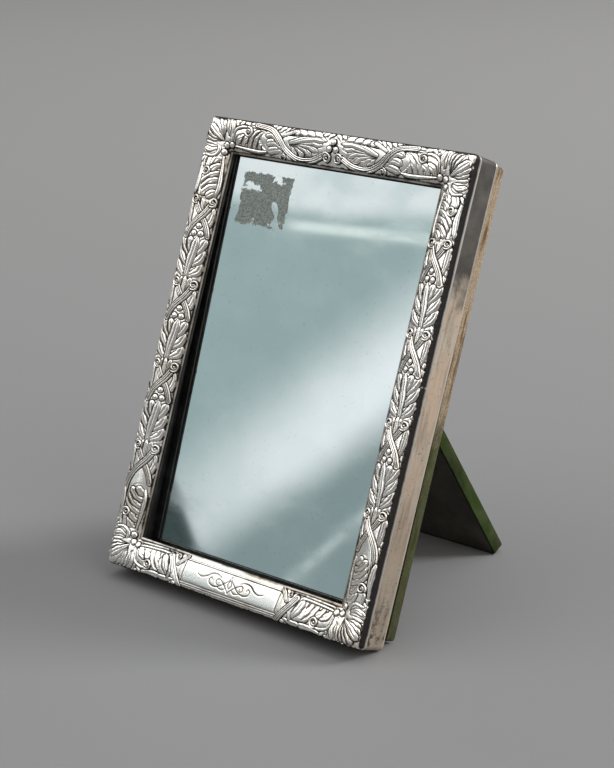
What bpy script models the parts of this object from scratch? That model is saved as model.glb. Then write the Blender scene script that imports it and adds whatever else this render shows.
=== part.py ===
"""Standing dresser mirror: a stamped silver front on a wooden core, an old glass, and a velvet easel back.

Everything is in metres with +Z up. The frame is modelled lying face up, as on a maker's bench: x to the
right, y up the frame from its bottom edge, z out of the front with 0 at the front arris. Its parent empty
then stands it up, leaning back by LEAN, with the front towards -Y. The origin is on the table, under the
middle of the standing mirror.
"""

from math import cos, pi, radians, sin

import bmesh
import bpy
from mathutils import Matrix, Vector

MM = 0.001
GAP = 0.3 * MM

# The frame's overall sizes.
WIDTH = 152 * MM
HEIGHT = 216 * MM
WALL_DEPTH = 16.7 * MM
RAIL_WIDTH = 16.1 * MM
LEAN = radians(23)

# The silver front: gauge of the sheet, and its moulding from the outer wall to the sight edge.
SILVER_GAUGE = 0.6 * MM
ARRIS_ROUND = 0.6 * MM
CREST_RISE = 1.2 * MM
SIGHT_DROP = 2.0 * MM
SIGHT_COVER = 0.5 * MM
MOULDING_STEPS = 9
SWELL_BIAS = 0.72
FALL_BIAS = 1.5

# The wooden core under it, with the rebate that the glass lies in.
CORE_DROP = 1.5 * MM
REBATE_LEDGE = 4.5 * MM
REBATE_WIDTH = 5.0 * MM

# The glass has slipped off the ledge at its lower end, so it tilts in the rebate.
GLASS_THICKNESS = 2.6 * MM
GLASS_ARRIS = 0.5 * MM
GLASS_SIDE_PLAY = 1.0 * MM
GLASS_TILT = radians(1.27)
CARD_THICKNESS = 1.0 * MM
SPRIG_RADIUS = 0.5 * MM
SPRIG_LENGTH = 9 * MM
SPRIG_HOLD = 4.5 * MM
SPRIG_SPACING = 110 * MM

# The back board and the leg are thin boards in velvet covers.
BOARD_THICKNESS = 4.4 * MM
VELVET_THICKNESS = 1.0 * MM
LINING_THICKNESS = 0.5 * MM
BACK_SIDE_INSET = 0.8 * MM
BACK_TOP_INSET = 1.2 * MM
BACK_TILT = radians(0.6)
FLOOR_CLEARANCE = 0.7 * MM
CORNER_RADIUS = 2.3 * MM

# The leg, its hinge and the angle at which the heel of the leg meets the back.
HINGE_HEIGHT = 129 * MM
OPENING = radians(45.4)
LEG_TOP_WIDTH = 54 * MM
LEG_FOOT_WIDTH = 114 * MM
KNUCKLE_RADIUS = 1.9 * MM
KNUCKLE_BORE = 1.2 * MM
PIN_RADIUS = 0.9 * MM
PIN_HEAD_RADIUS = 1.6 * MM
PIN_HEAD_HEIGHT = 0.7 * MM
LEAF_WIDTH = 36 * MM
LEAF_LENGTH = 14 * MM
LEAF_THICKNESS = 0.8 * MM
LEAF_SET = 0.1 * MM
MIDDLE_KNUCKLE = 12 * MM

# Fasteners: domed tacks hold the back to the core, and small rivets hold the hinge.
TACK_HEAD_RADIUS = 1.8 * MM
TACK_HEAD_HEIGHT = 0.9 * MM
TACK_SHANK_RADIUS = 0.6 * MM
TACK_LENGTH = 12 * MM
TACK_EDGE = 5.4 * MM
TACK_ROWS = 3
TOP_TACK_SPACING = 70 * MM
TOP_TACK_DROP = 3 * TACK_EDGE
RIVET_HEAD_RADIUS = 1.5 * MM
RIVET_HEAD_HEIGHT = 0.5 * MM
RIVET_SHANK_RADIUS = 0.6 * MM
RIVET_SPACING = 12 * MM
RIVET_HOLD = 3.3 * MM
ROUND_STEPS = 16
DOME_STEPS = 4

# Sizes that follow from those above.
CORE_OUTER = SILVER_GAUGE + GAP
CORE_SIGHT = RAIL_WIDTH - SIGHT_COVER
REBATE_WALL = CORE_SIGHT - REBATE_WIDTH
GLASS_INSET = REBATE_WALL + GLASS_SIDE_PLAY
COVER = VELVET_THICKNESS + GAP
BACK_DEPTH = BOARD_THICKNESS + COVER
AXIS_OFFSET = KNUCKLE_RADIUS + GAP
LEG_DEPTH = LINING_THICKNESS + GAP + BACK_DEPTH
LEG_ANGLE = OPENING - (LEAN - BACK_TILT)
LEAF_OUTER = KNUCKLE_RADIUS - LEAF_SET
LEAF_INNER = LEAF_OUTER - LEAF_THICKNESS
LEG_HEEL = (AXIS_OFFSET - GAP + AXIS_OFFSET * cos(OPENING)) / sin(OPENING)


def back_height():
    """Length of the back, whose lower edge just clears the table under the silver's back edge."""
    top = HEIGHT - BACK_TOP_INSET
    reach = (top + BACK_DEPTH * sin(BACK_TILT)) * cos(LEAN)
    reach -= (GAP + BACK_DEPTH * cos(BACK_TILT)) * sin(LEAN) + FLOOR_CLEARANCE
    return reach / cos(LEAN - BACK_TILT)


def hinge_drop():
    """Distance down the back from its top edge to the hinge axis."""
    return back_height() - HINGE_HEIGHT


def leg_reach():
    """Length of the leg below its axis, so that its foot meets the table as the silver's back edge does."""
    tilt = LEAN - BACK_TILT
    level = (HEIGHT - BACK_TOP_INSET) * cos(LEAN) - GAP * sin(LEAN)
    level -= hinge_drop() * cos(tilt) + (BACK_DEPTH + AXIS_OFFSET) * sin(tilt)
    return (level + AXIS_OFFSET * sin(LEG_ANGLE)) / cos(LEG_ANGLE)


def clear_scene():
    for thing in list(bpy.data.objects):
        bpy.data.objects.remove(thing, do_unlink=True)


def new_collection(name, parent, hidden=False):
    collection = bpy.data.collections.new(name)
    parent.children.link(collection)
    collection.hide_render = hidden
    return collection


def new_material(name, colour, roughness, metallic=0.0):
    material = bpy.data.materials.new(name)
    material.use_nodes = True
    shader = material.node_tree.nodes["Principled BSDF"]
    shader.inputs["Base Color"].default_value = (*colour, 1)
    shader.inputs["Roughness"].default_value = roughness
    shader.inputs["Metallic"].default_value = metallic
    material.diffuse_color = (*colour, 1)
    return material


def new_axes(name, parent, location=(0, 0, 0), turn=0.0):
    """An empty that pieces are placed on, turned about its x axis."""
    empty = bpy.data.objects.new(name, None)
    PARTS.objects.link(empty)
    empty.parent = parent
    empty.location = location
    empty.rotation_euler.x = turn
    return empty


def new_piece(name, mesh, parent, material, location=(0, 0, 0), rotation=(0, 0, 0)):
    mesh.name = name
    mesh.materials.clear()
    mesh.materials.append(material)
    piece = bpy.data.objects.new(name, mesh)
    PARTS.objects.link(piece)
    piece.parent = parent
    piece.location = location
    piece.rotation_euler = rotation
    return piece


def mesh_of(bm):
    bmesh.ops.recalc_face_normals(bm, faces=bm.faces)
    mesh = bpy.data.meshes.new("mesh")
    bm.to_mesh(mesh)
    bm.free()
    return mesh


def prism(outline, low, high, turn=None):
    """A flat outline in x and y, as a filled 2D curve, thickened from low to high in z."""
    curve = bpy.data.curves.new("outline", "CURVE")
    curve.dimensions = "2D"
    curve.fill_mode = "BOTH"
    curve.extrude = (high - low) / 2
    spline = curve.splines.new("POLY")
    spline.points.add(len(outline) - 1)
    for point, (x, y) in zip(spline.points, outline):
        point.co = (x, y, 0, 1)
    spline.use_cyclic_u = True
    drawn = bpy.data.objects.new("outline", curve)
    bpy.context.scene.collection.objects.link(drawn)
    graph = bpy.context.evaluated_depsgraph_get()
    flat = bpy.data.meshes.new_from_object(drawn.evaluated_get(graph))
    bpy.data.objects.remove(drawn, do_unlink=True)
    bm = bmesh.new()
    bm.from_mesh(flat)
    bpy.data.meshes.remove(flat)
    bmesh.ops.remove_doubles(bm, verts=bm.verts, dist=1e-6)
    bmesh.ops.translate(bm, verts=bm.verts, vec=(0, 0, (low + high) / 2))
    if turn is not None:
        bmesh.ops.transform(bm, matrix=turn, verts=bm.verts)
    return mesh_of(bm)


def rectangle(left, right, bottom, top):
    return [(left, bottom), (right, bottom), (right, top), (left, top)]


def rounded(corners, radius, steps=4):
    """The outline with an arc of about this radius at each corner."""
    outline = []
    for index, corner in enumerate(corners):
        here = Vector(corner)
        before = (Vector(corners[index - 1]) - here).normalized() * radius
        after = (Vector(corners[(index + 1) % len(corners)]) - here).normalized() * radius
        for step in range(steps + 1):
            t = step / steps
            point = here + before * (1 - t) ** 2 + after * t**2
            outline.append((point.x, point.y))
    return outline


def shrunk(outline, inset):
    """The outline moved inwards by the inset, for an outline drawn anticlockwise."""
    moved = []
    for index, corner in enumerate(outline):
        here = Vector(corner)
        edge_in = (here - Vector(outline[index - 1])).normalized()
        edge_out = (Vector(outline[(index + 1) % len(outline)]) - here).normalized()
        normal_in = Vector((-edge_in.y, edge_in.x))
        normal_out = Vector((-edge_out.y, edge_out.x))
        middle = (normal_in + normal_out).normalized()
        point = here + middle * inset / middle.dot(normal_in)
        moved.append((point.x, point.y))
    return moved


def turned(name, profile, parent, material, location, rotation):
    """A turned piece: the profile runs down its outer side, from the axis to the axis."""
    bm = bmesh.new()
    points = [bm.verts.new((radius, 0, level)) for radius, level in profile]
    for upper, lower in zip(points, points[1:]):
        bm.edges.new((upper, lower))
    mesh = bpy.data.meshes.new(name)
    bm.to_mesh(mesh)
    bm.free()
    piece = new_piece(name, mesh, parent, material, location, rotation)
    screw = piece.modifiers.new("turn", "SCREW")
    screw.steps = ROUND_STEPS
    screw.render_steps = ROUND_STEPS
    screw.use_merge_vertices = True
    screw.merge_threshold = 1e-6
    return piece


def cylinder_mesh(radius, length):
    """A closed cylinder along z, standing on z = 0."""
    bm = bmesh.new()
    bmesh.ops.create_cone(
        bm, cap_ends=True, segments=ROUND_STEPS, radius1=radius, radius2=radius, depth=length
    )
    bmesh.ops.translate(bm, verts=bm.verts, vec=(0, 0, length / 2))
    return mesh_of(bm)


def cutter(name, mesh, group, parent, location, rotation=(0, 0, 0)):
    """A helper that is only there to cut or to join, and isn't a piece itself."""
    helper = bpy.data.objects.new(name, mesh)
    group.objects.link(helper)
    helper.hide_render = True
    helper.display_type = "WIRE"
    helper.parent = parent
    helper.location = location
    helper.rotation_euler = rotation
    return helper


def boolean(piece, operation, helper=None, group=None):
    modifier = piece.modifiers.new(operation.lower(), "BOOLEAN")
    modifier.operation = operation
    modifier.solver = "EXACT"
    if group is not None:
        modifier.operand_type = "COLLECTION"
        modifier.collection = group
    else:
        modifier.object = helper


def moulding_profile():
    """Points (inset from the outer wall, height) over the moulding, from the arris to the sight edge."""
    points = [(0, -ARRIS_ROUND)]
    for step in range(1, MOULDING_STEPS + 1):
        t = step / MOULDING_STEPS
        swell = CREST_RISE * sin(pi * t**SWELL_BIAS)
        points.append((RAIL_WIDTH * t, swell - SIGHT_DROP * t**FALL_BIAS))
    return points


def silver_front():
    """Walls and moulding as one sheet: a plane raised and inset step by step, opened, then thickened."""
    bm = bmesh.new()
    bmesh.ops.create_grid(bm, x_segments=1, y_segments=1, size=0.5)
    bmesh.ops.scale(bm, vec=(WIDTH, HEIGHT, 1), verts=bm.verts)
    bmesh.ops.translate(bm, vec=(0, HEIGHT / 2, -WALL_DEPTH), verts=bm.verts)
    face = bm.faces[:]
    steps = [(0, WALL_DEPTH - ARRIS_ROUND)]
    profile = moulding_profile()
    steps += [(b[0] - a[0], b[1] - a[1]) for a, b in zip(profile, profile[1:])]
    for inset, rise in steps:
        bmesh.ops.inset_region(
            bm, faces=face, thickness=inset, depth=rise, use_even_offset=True, use_boundary=True
        )
    bmesh.ops.delete(bm, geom=face, context="FACES")
    mesh = bpy.data.meshes.new("silver_front")
    bm.to_mesh(mesh)
    bm.free()
    piece = new_piece("silver_front", mesh, FRAME, SILVER)
    sheet = piece.modifiers.new("gauge", "SOLIDIFY")
    sheet.thickness = SILVER_GAUGE
    sheet.offset = -1
    sheet.use_even_offset = True


def core_section():
    """The core's section: inset from the frame's edge, and height. Its front follows the moulding."""
    front = [(u, z - CORE_DROP) for u, z in moulding_profile()[1:] if CORE_OUTER < u < CORE_SIGHT]
    start = (CORE_OUTER, front[0][1] - (front[0][0] - CORE_OUTER))
    end = (CORE_SIGHT, front[-1][1] - (CORE_SIGHT - front[-1][0]) / 2)
    rebate = [(CORE_SIGHT, -REBATE_LEDGE), (REBATE_WALL, -REBATE_LEDGE), (REBATE_WALL, -WALL_DEPTH)]
    return [start, *front, end, *rebate, (CORE_OUTER, -WALL_DEPTH)]


def core_rail(name, length, location, turn, holes):
    """One mitred rail, along x on its own axes with its outer side at y = 0, then turned into its place."""
    along_x = Matrix(((0, 0, 1, 0), (1, 0, 0, 0), (0, 1, 0, 0), (0, 0, 0, 1)))
    bar = prism(core_section(), -length / 2, length / 2, along_x)
    bm = bmesh.new()
    bm.from_mesh(bar)
    for side in (-1, 1):
        mitre_point = (side * (length / 2 - GAP), 0, 0)
        cut = bmesh.ops.bisect_plane(
            bm,
            geom=bm.verts[:] + bm.edges[:] + bm.faces[:],
            plane_co=mitre_point,
            plane_no=(side, 1, 0),
            clear_outer=True,
        )
        rim = [item for item in cut["geom_cut"] if isinstance(item, bmesh.types.BMEdge)]
        bmesh.ops.holes_fill(bm, edges=rim)
    piece = new_piece(name, mesh_of(bm), FRAME, CORE_WOOD, location, (0, 0, turn))
    for group in holes:
        boolean(piece, "DIFFERENCE", group=group)


def wooden_core():
    half = WIDTH / 2
    middle = HEIGHT / 2
    core_rail("core_rail_bottom", WIDTH, (0, 0, 0), 0, [SPRIG_HOLES])
    core_rail("core_rail_right", HEIGHT, (half, middle, 0), pi / 2, [SPRIG_HOLES, TACK_HOLES])
    core_rail("core_rail_top", WIDTH, (0, HEIGHT, 0), pi, [SPRIG_HOLES, TACK_HOLES])
    core_rail("core_rail_left", HEIGHT, (-half, middle, 0), -pi / 2, [SPRIG_HOLES, TACK_HOLES])


def glass_outline():
    half = WIDTH / 2 - GLASS_INSET
    return rectangle(-half, half, 2 * GLASS_INSET - HEIGHT, 0)


def glass_and_packing():
    glass = new_piece("mirror_glass", prism(glass_outline(), -GLASS_THICKNESS, 0), GLASS, MIRROR)
    arris = glass.modifiers.new("arris", "BEVEL")
    arris.width = GLASS_ARRIS
    arris.segments = 1
    card_front = -GLASS_THICKNESS - GAP
    card = prism(glass_outline(), card_front - CARD_THICKNESS, card_front)
    new_piece("backing_card", card, GLASS, CARD)


def sprig(name, place, direction):
    """A headless brad over the card. It points into the rebate wall, which has a hole for it."""
    level = -GLASS_THICKNESS - GAP - CARD_THICKNESS - GAP - SPRIG_RADIUS
    across = Vector((-direction[0], -direction[1], 0))
    turn = across.to_track_quat("Z", "Y").to_euler()
    tip = Vector((place[0] + direction[0] * SPRIG_HOLD, place[1] + direction[1] * SPRIG_HOLD, level))
    profile = [
        (0, SPRIG_LENGTH),
        (SPRIG_RADIUS, SPRIG_LENGTH),
        (SPRIG_RADIUS, 4 * SPRIG_RADIUS),
        (SPRIG_RADIUS / 2, 0),
        (0, 0),
    ]
    turned(name, profile, GLASS, IRON, tip, turn)
    start = tip + Vector((*direction, 0)) * GAP
    hole = cylinder_mesh(SPRIG_RADIUS + GAP, SPRIG_LENGTH)
    cutter(f"hole_{name}", hole, SPRIG_HOLES, GLASS, start, turn)


def glazing_sprigs():
    half = WIDTH / 2 - REBATE_WALL
    bottom = GLASS_INSET + REBATE_WALL - HEIGHT
    top = GLASS_INSET - REBATE_WALL
    middle = (top + bottom) / 2
    number = 1
    for side in (-1, 1):
        for row in (-1, 1):
            sprig(f"glazing_sprig_{number}", (side * half, middle + row * SPRIG_SPACING / 2), (side, 0))
            number += 1
    sprig("glazing_sprig_5", (0, top), (0, 1))
    sprig("glazing_sprig_6", (0, bottom), (0, -1))


def velvet_cover(name, outline, depth, parent):
    """Velvet over one side and the edges of a board: a block, opened at the front, then thickened."""
    bm = bmesh.new()
    bm.from_mesh(prism(outline, -depth, 0))
    front = [face for face in bm.faces if face.normal.z > 0.5]
    bmesh.ops.delete(bm, geom=front, context="FACES")
    mesh = bpy.data.meshes.new(name)
    bm.to_mesh(mesh)
    bm.free()
    cover = new_piece(name, mesh, parent, VELVET)
    pile = cover.modifiers.new("pile", "SOLIDIFY")
    pile.thickness = VELVET_THICKNESS
    pile.offset = -1
    pile.use_even_offset = True
    return cover


def softened(corners, inset):
    """The corners moved inwards by the inset and rounded, so that a board fits its cover."""
    return rounded(shrunk(corners, inset), CORNER_RADIUS - inset)


def back_corners():
    half = WIDTH / 2 - BACK_SIDE_INSET
    return rectangle(-half, half, -back_height(), 0)


def back_panel():
    inside = softened(back_corners(), COVER)
    board = new_piece("back_board", prism(inside, -BOARD_THICKNESS, 0), BACK, BOARD)
    velvet = velvet_cover("back_velvet", softened(back_corners(), 0), BACK_DEPTH, BACK)
    for piece in (board, velvet):
        boolean(piece, "DIFFERENCE", group=TACK_HOLES)
        boolean(piece, "DIFFERENCE", group=BACK_RIVET_HOLES)


def domed_profile(head_radius, head_height, shank_radius, length):
    """A dome on top of a pointed shank, with z = 0 under the head."""
    dome = []
    for step in range(DOME_STEPS + 1):
        angle = pi / 2 * step / DOME_STEPS
        dome.append((head_radius * sin(angle), head_height * cos(angle)))
    return [*dome, (shank_radius, 0), (shank_radius, shank_radius * 3 - length), (0, -length)]


def back_tack(number, x, y):
    """A brass tack through the velvet and the board into the core. Its head is on the back."""
    head = Vector((x, y, -BACK_DEPTH - GAP))
    profile = domed_profile(TACK_HEAD_RADIUS, TACK_HEAD_HEIGHT, TACK_SHANK_RADIUS, TACK_LENGTH)
    turned(f"back_tack_{number}", profile, BACK, BRASS, head, (pi, 0, 0))
    hole = cylinder_mesh(TACK_SHANK_RADIUS + GAP, TACK_LENGTH + 2 * GAP)
    cutter(f"hole_tack_{number}", hole, TACK_HOLES, BACK, head - Vector((0, 0, GAP)))


def back_tacks():
    number = 1
    side = WIDTH / 2 - TACK_EDGE
    lowest = TACK_EDGE + CORNER_RADIUS - back_height()
    highest = -TOP_TACK_DROP
    for row in range(TACK_ROWS):
        level = lowest + (highest - lowest) * row / (TACK_ROWS - 1)
        for x in (-side, side):
            back_tack(number, x, level)
            number += 1
    for x in (-TOP_TACK_SPACING / 2, TOP_TACK_SPACING / 2):
        back_tack(number, x, BACK_TOP_INSET - TACK_EDGE)
        number += 1


def leaf_outline(barrels):
    """A hinge leaf from its far edge to the knuckles, with a tooth to the axis inside each barrel."""
    clear = KNUCKLE_RADIUS + GAP
    half = LEAF_WIDTH / 2
    outline = [(half, LEAF_LENGTH), (-half, LEAF_LENGTH), (-half, clear)]
    for left, right in barrels:
        left += LEAF_SET
        right -= LEAF_SET
        outline += [(left, clear), (left, 0), (right, 0), (right, clear)]
    return [*outline, (half, clear)]


def hinge_leaf(name, axes, barrels, holes, facing):
    """A leaf on the side of its board. facing is 1 on the back, whose leaf goes up, and -1 on the leg."""
    flip = Matrix.Rotation(0 if facing == 1 else pi, 4, "X")
    plate = prism(leaf_outline(barrels), LEAF_INNER, LEAF_OUTER, flip)
    leaf = new_piece(name, plate, axes, BRASS)
    along_x = (0, pi / 2, 0)
    for number, (left, right) in enumerate(barrels, 1):
        barrel = cylinder_mesh(KNUCKLE_RADIUS, right - left)
        helper = cutter(f"barrel_{name}_{number}", barrel, SHAPERS, axes, (left, 0, 0), along_x)
        boolean(leaf, "UNION", helper)
    bore = cylinder_mesh(KNUCKLE_BORE, LEAF_WIDTH + 2 * GAP)
    start = (-LEAF_WIDTH / 2 - GAP, 0, 0)
    boolean(leaf, "DIFFERENCE", cutter(f"bore_{name}", bore, SHAPERS, axes, start, along_x))
    boolean(leaf, "DIFFERENCE", group=holes)


def hinge():
    half = LEAF_WIDTH / 2
    inner = MIDDLE_KNUCKLE / 2
    side_barrels = [(-half, -inner - GAP), (inner + GAP, half)]
    hinge_leaf("hinge_leaf_back", HINGE, side_barrels, BACK_RIVET_HOLES, 1)
    hinge_leaf("hinge_leaf_leg", LEG, [(-inner, inner)], LEG_RIVET_HOLES, -1)
    length = half + GAP
    end = domed_profile(PIN_HEAD_RADIUS, PIN_HEAD_HEIGHT, PIN_RADIUS, length)[:-2]
    upper = [(radius, level + length) for radius, level in end]
    lower = [(radius, -level - length) for radius, level in reversed(end)]
    turned("hinge_pin", upper + lower, HINGE, BRASS, (0, 0, 0), (0, pi / 2, 0))


def rivet(name, axes, holes, facing, x, length):
    """A rivet through a leaf into the board under it. Its head lies on the leaf's open side."""
    middle = facing * (LEAF_LENGTH + KNUCKLE_RADIUS) / 2
    profile = domed_profile(RIVET_HEAD_RADIUS, RIVET_HEAD_HEIGHT, RIVET_SHANK_RADIUS, length)
    head_turn = pi if facing == 1 else 0
    seat = (x, middle, facing * (LEAF_INNER - GAP))
    turned(name, profile, axes, BRASS, seat, (head_turn, 0, 0))
    hole = cylinder_mesh(RIVET_SHANK_RADIUS + GAP, length + 2 * GAP)
    start = (x, middle, facing * (LEAF_INNER - 2 * GAP))
    cutter(f"hole_{name}", hole, holes, axes, start, (head_turn + pi, 0, 0))


def hinge_rivets():
    """Three rivets through each leaf, as deep as RIVET_HOLD in the board."""
    in_back = 2 * GAP + LEAF_THICKNESS + COVER + RIVET_HOLD
    in_leg = 3 * GAP + LEAF_THICKNESS + LINING_THICKNESS + RIVET_HOLD
    for number in (1, 2, 3):
        x = (number - 2) * RIVET_SPACING
        rivet(f"hinge_rivet_back_{number}", HINGE, BACK_RIVET_HOLES, 1, x, in_back)
        rivet(f"hinge_rivet_leg_{number}", LEG, LEG_RIVET_HOLES, -1, x, in_leg)


def leg_corners():
    """The leg from foot to heel. The heel is notched, so that only two ears beside the hinge meet the back."""
    top = LEG_TOP_WIDTH / 2
    foot = LEG_FOOT_WIDTH / 2
    notch = LEAF_WIDTH / 2 + 2 * GAP
    corners = [(-foot, -leg_reach()), (foot, -leg_reach()), (top, LEG_HEEL), (notch, LEG_HEEL)]
    corners += [(notch, 0), (-notch, 0), (-notch, LEG_HEEL), (-top, LEG_HEEL)]
    return corners


def leg():
    inner_face = new_axes("leg_face_axes", LEG, (0, 0, -AXIS_OFFSET))
    board_top = -LINING_THICKNESS - GAP
    inside = softened(leg_corners(), COVER)
    lining = prism(inside, -LINING_THICKNESS, 0)
    lining = new_piece("leg_lining", lining, inner_face, LINING)
    board = prism(inside, board_top - BOARD_THICKNESS, board_top)
    board = new_piece("leg_board", board, inner_face, BOARD)
    velvet_cover("leg_velvet", softened(leg_corners(), 0), LEG_DEPTH, inner_face)
    for piece in (lining, board):
        boolean(piece, "DIFFERENCE", group=LEG_RIVET_HOLES)


def stand_on_origin():
    """Moves the whole mirror so that its box stands on z = 0 with the middle over the origin."""
    graph = bpy.context.evaluated_depsgraph_get()
    points = []
    for piece in PARTS.objects:
        if piece.type == "MESH":
            solid = piece.evaluated_get(graph)
            points += [solid.matrix_world @ vertex.co for vertex in solid.data.vertices]
    low = [min(point[axis] for point in points) for axis in range(3)]
    high = [max(point[axis] for point in points) for axis in range(3)]
    FRAME.location = (0, -(low[1] + high[1]) / 2, -low[2])


clear_scene()
PARTS = new_collection("easel_mirror", bpy.context.scene.collection)
CUTTERS = new_collection("cutters", bpy.context.scene.collection, hidden=True)
SHAPERS = new_collection("shapers", CUTTERS, hidden=True)
SPRIG_HOLES = new_collection("sprig_holes", CUTTERS, hidden=True)
TACK_HOLES = new_collection("tack_holes", CUTTERS, hidden=True)
BACK_RIVET_HOLES = new_collection("back_rivet_holes", CUTTERS, hidden=True)
LEG_RIVET_HOLES = new_collection("leg_rivet_holes", CUTTERS, hidden=True)

SILVER = new_material("worn silver", (0.78, 0.75, 0.70), 0.25, 1.0)
CORE_WOOD = new_material("blackened pine", (0.05, 0.04, 0.035), 0.7)
MIRROR = new_material("old mirror", (0.55, 0.64, 0.66), 0.05, 1.0)
CARD = new_material("grey card", (0.35, 0.32, 0.27), 0.9)
IRON = new_material("dark iron", (0.16, 0.14, 0.13), 0.5, 1.0)
BOARD = new_material("thin board", (0.36, 0.25, 0.15), 0.7)
VELVET = new_material("green velvet", (0.09, 0.17, 0.03), 0.95)
LINING = new_material("dark lining", (0.10, 0.085, 0.07), 0.9)
BRASS = new_material("aged brass", (0.55, 0.42, 0.20), 0.4, 1.0)

FRAME = new_axes("frame_axes", None, turn=pi / 2 - LEAN)
GLASS = new_axes("glass_axes", FRAME, (0, HEIGHT - GLASS_INSET, -REBATE_LEDGE - GAP), GLASS_TILT)
BACK = new_axes("back_axes", FRAME, (0, HEIGHT - BACK_TOP_INSET, -WALL_DEPTH - GAP), BACK_TILT)
HINGE = new_axes("hinge_axes", BACK, (0, -hinge_drop(), -BACK_DEPTH - AXIS_OFFSET))
LEG = new_axes("leg_axes", HINGE, turn=OPENING)

back_tacks()
hinge()
hinge_rivets()
glazing_sprigs()
silver_front()
wooden_core()
glass_and_packing()
back_panel()
leg()
bpy.context.view_layer.update()
stand_on_origin()
bpy.context.view_layer.update()
print("hinge axis at", tuple(round(value, 6) for value in HINGE.matrix_world.translation))
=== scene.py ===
# %% [markdown]
# # A standing dresser mirror
# The real one is a dressing table mirror about a century old. A thin stamped silver front is folded over a
# wooden core, an old bevelled glass lies behind it, and a board in green velvet closes the back. A velvet
# covered leg is hinged to that board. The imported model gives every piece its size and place. This lesson
# adds what the eye sees: the leaf relief in the silver, the tarnish, the aged glass, the pile of the
# velvet, and a plain studio to look at it in.

import math

import bmesh
import bpy
import numpy as np
from mathutils import Matrix, Vector


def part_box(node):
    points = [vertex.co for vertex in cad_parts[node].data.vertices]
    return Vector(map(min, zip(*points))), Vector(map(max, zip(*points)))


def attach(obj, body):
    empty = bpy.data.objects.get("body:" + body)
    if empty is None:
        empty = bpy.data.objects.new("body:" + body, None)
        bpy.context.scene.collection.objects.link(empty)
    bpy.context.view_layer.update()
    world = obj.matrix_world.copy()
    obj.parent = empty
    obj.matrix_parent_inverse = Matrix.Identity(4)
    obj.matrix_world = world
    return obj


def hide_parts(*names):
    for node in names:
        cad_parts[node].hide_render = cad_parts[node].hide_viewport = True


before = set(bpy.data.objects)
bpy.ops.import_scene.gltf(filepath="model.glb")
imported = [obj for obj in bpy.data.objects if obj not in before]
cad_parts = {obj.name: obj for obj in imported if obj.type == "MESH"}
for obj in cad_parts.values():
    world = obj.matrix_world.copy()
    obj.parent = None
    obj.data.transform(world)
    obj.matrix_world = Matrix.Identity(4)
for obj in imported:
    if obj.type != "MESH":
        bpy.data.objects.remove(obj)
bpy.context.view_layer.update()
MM = 0.001

# %% [markdown]
# ## Camera
# The camera stands a little over a metre away, to the right of the mirror and above it. A long lens keeps
# the sides of the frame nearly parallel. It is set first, so that every later choice can be looked at
# through it.

# %% Camera
CAMERA_PLACE = (0.5357, -0.6396, 0.3794)
CAMERA_TURN = (70.996, 1.234, 39.901)
CAMERA_LENS = 90.23

camera = bpy.data.objects.new("camera", bpy.data.cameras.new("camera"))
bpy.context.scene.collection.objects.link(camera)
camera.location = CAMERA_PLACE
camera.rotation_euler = [math.radians(turn) for turn in CAMERA_TURN]
camera.data.lens = CAMERA_LENS
camera.data.clip_end = 50
bpy.context.scene.camera = camera
bpy.context.scene.view_settings.view_transform = "Standard"
print("camera distance", round(Vector(CAMERA_PLACE).length, 3))

# %% [markdown]
# ## Axes to draw on
# The silver front is drawn as it lay on the maker's bench: x to the right, y up the frame from its bottom
# edge and z out of its face. One matrix then stands a finished piece up. The matrix is applied to the mesh
# and not to the object, so that every finished piece has its object at the origin, as the nodes of the
# frame have.

# %% Axes
LEAN = math.radians(23)
FRONT_EDGE = -67.409
silver_box = [np.array(corner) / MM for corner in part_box("silver_front")]
WIDTH = silver_box[1][0] - silver_box[0][0]
HEIGHT = 216.0
WALL_DEPTH = 16.7
RAIL_WIDTH = 16.1
HALF_WIDTH = WIDTH / 2

stand_up = Matrix.Translation((0, FRONT_EDGE * MM, WALL_DEPTH * MM * math.sin(LEAN)))
stand_up = stand_up @ Matrix.Rotation(math.pi / 2 - LEAN, 4, "X")
print("silver front", round(WIDTH, 2), "wide")


def place_mesh(piece, matrix):
    """Moves the mesh to its place and leaves the object at the origin."""
    piece.data.transform(matrix @ piece.matrix_world)
    piece.matrix_world = Matrix.Identity(4)


# %% [markdown]
# ## The leaf relief
# The real front was stamped in steel dies: acanthus leaves, crossing reeded ribbons, little berries and
# curled volutes. It could be sculpted by hand, or built from many small curves. Here it is chased on a
# sheet, as a silversmith would: `rise` holds the height of the ornament above its ground at every tenth of
# a millimetre, each stroke pushes up a rounded ridge, and a chased line sinks round its edge. Later strokes
# lie over earlier ones. The front is the same on its left and right, so only the right half is chased.

# %% The chased sheet and its strokes
CELL = 0.12
CHASE = 0.42
LINE_WIDTH = 0.6
FULLNESS = 0.34
VEIN_WIDTH = 0.17
REED_DEPTH = 0.45
LOBE_TILT = 0.28
TOOTH_DEPTH = 0.16
RIM_START = 0.8
RIM_DARK = 0.8
GROOVE_DARK = 1.8
FAR = 9.0
across = np.arange(0, HALF_WIDTH + CELL, CELL)
upward = np.arange(0, HEIGHT + CELL, CELL)
rise = np.zeros((len(upward), len(across)), np.float32)
lines = np.zeros(rise.shape, np.float32)


def same(line):
    return line


def smooth_line(points, step=0.3):
    """A smooth line through a few points, given back as points about a step apart."""
    knots = [np.array(point, float) for point in points]
    knots = [2 * knots[0] - knots[1]] + knots + [2 * knots[-1] - knots[-2]]
    line = []
    for a, b, c, d in zip(knots, knots[1:], knots[2:], knots[3:]):
        count = max(2, int(np.linalg.norm(c - b) / step))
        t = np.linspace(0, 1, count, endpoint=False)[:, None]
        bend = (2 * a - 5 * b + 4 * c - d) * t**2 + (3 * b - a - 3 * c + d) * t**3
        line.append(b + 0.5 * ((c - a) * t + bend))
    return np.vstack(line + [knots[-2][None]])


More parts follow.
